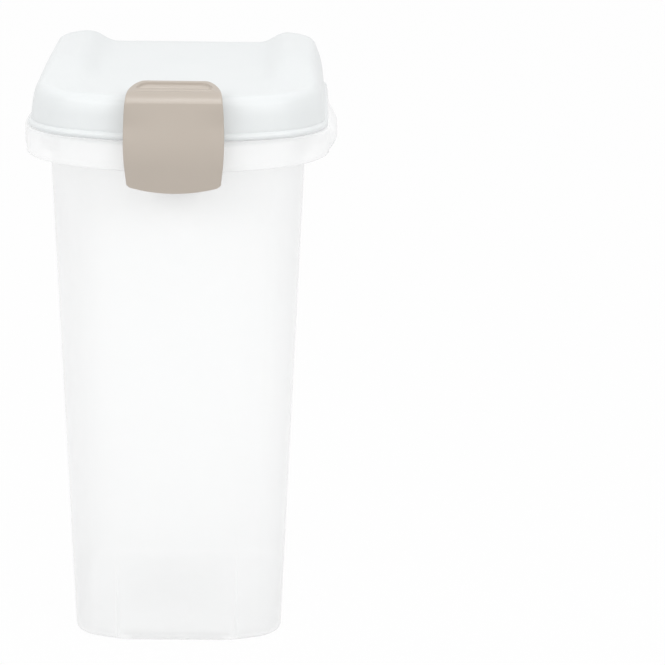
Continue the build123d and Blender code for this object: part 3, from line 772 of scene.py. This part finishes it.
def latch_grid():
    """The closed plate: rings round its section, with rounded edges, carried from the foot to the hood.

    A ring's places are a share across, a share of the edge round, and how far they lie under the outside.
    The first and last rings draw together at the middle of the plate.
    """
    round_edge = np.radians(np.linspace(0, 90, 6))
    across = np.linspace(-1, 1, 111)
    edge = np.sin(round_edge[1:])
    drop = plate_round * (1 - np.cos(round_edge[1:]))
    flat = np.zeros_like(across)
    share = np.concatenate([across, np.ones(5), np.ones(5), across[::-1], -np.ones(5), -np.ones(5)])
    round_share = np.concatenate([flat, edge, edge[::-1], flat, -edge, -edge[::-1]])
    upper = np.concatenate([flat, drop, drop[::-1], flat, drop, drop[::-1]])
    inner = np.concatenate([flat, np.zeros(5), np.ones(5), flat + 1, np.ones(5), np.zeros(5)])
    pull_in = plate_round * (1 - np.sin(round_edge))
    fine = np.arange(latch_end - 33.0, latch_end - plate_round, 0.2)
    along = np.concatenate([
        [latch_start], latch_start + pull_in, np.arange(latch_start + plate_round + 0.4, fine[0], 0.6),
        fine, (latch_end - pull_in)[::-1], [latch_end],
    ])
    close = np.ones_like(along)
    close[0] = close[-1] = 0.0
    squeeze = plate_round * (1 - np.cos(round_edge[::-1]))
    pinch = np.zeros_like(along)
    pinch[1:7] = squeeze
    pinch[-7:-1] = squeeze[::-1]
    half = latch_half_width(along)[:, None]
    x = share * (half - plate_round) + round_share * plate_round
    grid_along = np.broadcast_to(along[:, None], x.shape)
    step = 0.05
    over = latch_surface(x + step, grid_along) - latch_surface(x - step, grid_along)
    up = (latch_surface(x, np.clip(grid_along + step, 0, latch_end))
          - latch_surface(x, np.clip(grid_along - step, 0, latch_end)))
    outward = np.cross(over, up)
    outward = outward / np.linalg.norm(outward, axis=-1, keepdims=True)
    depth = np.interp(grid_along, line_length, line_depth)
    thickness = plate + (hood_plate - plate) * np.clip((depth - hood_thin_from) / hood_thin_run, 0, 1)
    under = np.where(inner > 0, thickness - upper - pinch[:, None], upper + pinch[:, None])
    under = thickness / 2 + (under - thickness / 2) * close[:, None]
    under = under + crescent(x, depth) * (1 - under / thickness) * close[:, None]
    return latch_surface(x, grid_along) - outward * under[..., None]


skin("latch_plate", latch_grid(), "latch", taupe, node="front_latch", smooth=50)

# Barrel and knuckles: the bored parts of the latch that wrap its pin between and beside the lid's ears.
# Each is a sleeve of the latch's own taupe plastic, moulded in one with the plate.
barrel_radius = 2.8
barrel_bore = 1.46
barrel_edge = 0.3


def sleeve_grid(half, middle, around=28):
    """A sleeve about the latch's pin: a ring's section, its outer edges cut off, carried round the axis."""
    run = np.array([-half, -half, barrel_edge - half, half - barrel_edge, half, half])
    rim = barrel_radius - barrel_edge
    size = np.array([barrel_bore, rim, barrel_radius, barrel_radius, rim, barrel_bore])[:, None]
    turn = np.linspace(0, 2 * np.pi, around, endpoint=False)[None, :]
    return np.dstack([np.broadcast_to(middle + run[:, None], (len(run), around)),
                      latch_pin_y + size * np.cos(turn), latch_pin_z + size * np.sin(turn)])


for name, middle, half in (
    ("latch_barrel", 0.0, 7.0), ("latch_knuckle_left", -14.6, 1.8), ("latch_knuckle_right", 14.6, 1.8),
):
    skin(name, sleeve_grid(half, middle), "latch", taupe, closed_rows=True, smooth=30)

# Hook: the bar inside the latch's face that snaps under the catch bar and has the slope of its underside.
# It is moulded in one with the plate.
hook_half = 15.0
hook_tip = 1.3
hook_root = 5.15
hook_gap = 0.39
hook_profile = [
    (rim_front - hook_tip, catch_foot + hook_tip * catch_slope - hook_gap),
    (rim_front - hook_root, catch_foot + hook_root * catch_slope - hook_gap),
    (rim_front - hook_root, catch_foot - 7.0), (rim_front - hook_tip, catch_foot - 5.7),
]
skin("latch_hook", bar_grid(hook_profile, hook_half, 0.04), "latch", taupe, smooth=30)

# Studio: a white floor that keeps a faint shadow, and a white room that lights less than it shows.
# A small lamp overhead draws the highlights, and two large ones in front light the walls.
floor_half = 6.0
floor_z = -0.0002
corners = [(x, y, floor_z) for x, y in ((-floor_half, -floor_half), (floor_half, -floor_half),
                                        (floor_half, floor_half), (-floor_half, floor_half))]
floor_mesh = bpy.data.meshes.new("studio_floor")
floor_mesh.from_pydata(corners, [], [(0, 1, 2, 3)])
floor = bpy.data.objects.new("studio_floor", floor_mesh)
bpy.context.scene.collection.objects.link(floor)


def seen_share(nodes, links):
    """1 for rays from the camera, in reflections and through clear things, 0 for rays that carry light."""
    path = nodes.new("ShaderNodeLightPath")
    share = path.outputs["Is Camera Ray"]
    for ray in ("Is Glossy Ray", "Is Transmission Ray"):
        either = nodes.new("ShaderNodeMath")
        either.operation = "MAXIMUM"
        links.new(share, either.inputs[0])
        links.new(path.outputs[ray], either.inputs[1])
        share = either.outputs["Value"]
    return share


floor_paint = bpy.data.materials.new("studio white")
floor_paint.use_nodes = True
nodes, links = floor_paint.node_tree.nodes, floor_paint.node_tree.links
nodes.clear()
paint = nodes.new("ShaderNodeBsdfDiffuse")
paint.inputs["Color"].default_value = (0.72, 0.72, 0.72, 1.0)
white = nodes.new("ShaderNodeEmission")
shadow_keep = nodes.new("ShaderNodeMath")
shadow_keep.operation = "MULTIPLY"
shadow_keep.inputs[1].default_value = 0.975
blend = nodes.new("ShaderNodeMixShader")
out = nodes.new("ShaderNodeOutputMaterial")
links.new(seen_share(nodes, links), shadow_keep.inputs[0])
links.new(shadow_keep.outputs["Value"], blend.inputs["Fac"])
links.new(paint.outputs["BSDF"], blend.inputs[1])
links.new(white.outputs["Emission"], blend.inputs[2])
links.new(blend.outputs["Shader"], out.inputs["Surface"])
floor_mesh.materials.append(floor_paint)

world = bpy.data.worlds.new("studio")
bpy.context.scene.world = world
world.use_nodes = True
nodes, links = world.node_tree.nodes, world.node_tree.links
room = nodes["Background"]
room.inputs["Color"].default_value = (1.0, 1.0, 1.0, 1.0)
room.inputs["Strength"].default_value = 0.74
seen_room = nodes.new("ShaderNodeBackground")
seen_room.inputs["Color"].default_value = (1.0, 1.0, 1.0, 1.0)
seen_room.inputs["Strength"].default_value = 1.0
mix = nodes.new("ShaderNodeMixShader")
links.new(seen_share(nodes, links), mix.inputs["Fac"])
links.new(room.outputs["Background"], mix.inputs[1])
links.new(seen_room.outputs["Background"], mix.inputs[2])
links.new(mix.outputs["Shader"], nodes["World Output"].inputs["Surface"])


def lamp(name, place, aim, size, power):
    """A square soft lamp at a place in metres, turned to face an aim."""
    light = bpy.data.lights.new(name, "AREA")
    light.size = size
    light.energy = power
    holder = bpy.data.objects.new(name, light)
    bpy.context.scene.collection.objects.link(holder)
    heading = np.array(aim, float) - np.array(place, float)
    flat = np.hypot(heading[0], heading[1])
    holder.location = place
    holder.rotation_euler = (np.arctan2(flat, -heading[2]), 0.0, np.arctan2(-heading[0], heading[1]))


lamp("overhead", (0.0, -0.4, 2.2), (0.0, 0.0, 0.25), 0.42, 5.5)
lamp("front_left", (-1.7, -1.6, 1.5), (0.0, 0.0, 0.2), 1.2, 17.0)
lamp("front_right", (1.7, -1.6, 1.5), (0.0, 0.0, 0.2), 1.2, 17.0)

# Camera: about 1.7 m in front of the rim, looking down by 15 degrees and rolled by under one degree.
# It is aimed past the bin's right side, so that the bin stands in the left half of the picture.
view = bpy.data.cameras.new("camera")
view.lens = 157.9
view.sensor_width = 36.0
view.clip_end = 50.0
camera = bpy.data.objects.new("camera", view)
bpy.context.scene.collection.objects.link(camera)
camera.location = (0.0785, -1.8143, 0.6576)
yaw, pitch, roll = np.radians(0.5715), np.radians(14.73), np.radians(0.718)
ahead = np.array([np.sin(yaw) * np.cos(pitch), np.cos(yaw) * np.cos(pitch), -np.sin(pitch)])
right = np.array([np.cos(yaw), -np.sin(yaw), 0.0])
up = np.cross(right, ahead)
tilted_right = right * np.cos(roll) + up * np.sin(roll)
tilted_up = -right * np.sin(roll) + up * np.cos(roll)
turned = np.eye(4)
turned[:3, 0], turned[:3, 1], turned[:3, 2] = tilted_right, tilted_up, -ahead
turned[:3, 3] = camera.location
camera.matrix_world = Matrix(turned.tolist())
bpy.context.scene.camera = camera
bpy.context.scene.view_settings.view_transform = "Standard"
bpy.context.scene.cycles.transparent_max_bounces = 32
